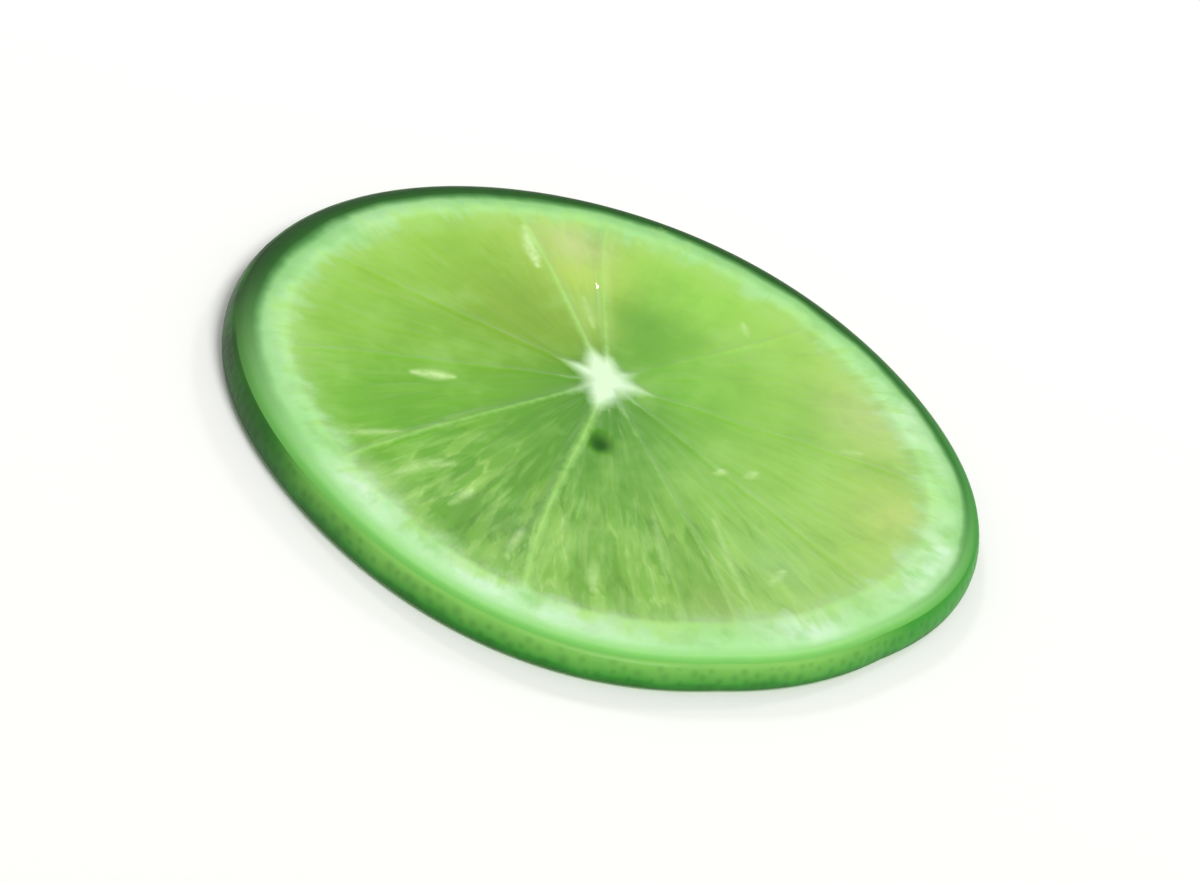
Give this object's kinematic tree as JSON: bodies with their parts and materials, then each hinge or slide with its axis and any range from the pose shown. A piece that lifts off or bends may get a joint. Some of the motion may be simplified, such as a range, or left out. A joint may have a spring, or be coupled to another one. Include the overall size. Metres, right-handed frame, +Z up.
{
  "type": "lime slice",
  "caption": "Thin round slice cut across a lime, with green peel, pale pith, sunken pulp segments between membranes, a star-shaped core off centre and a small open hollow beside one membrane.",
  "frame": {"origin": "middle of the slice's outline, on the surface that its lower cut face rests on", "axes": "+Z up, across the slice's thickness; +Y from the middle towards the off-centre core; +X to the right of that"},
  "size_m": [0.053, 0.0526, 0.0023],
  "materials": {
    "lime_flesh": "wet lime pulp with pale pith and a dark green waxy peel"
  },
  "bodies": {
    "root": {"lime_slice": "lime_flesh"}
  },
  "joints": []
}
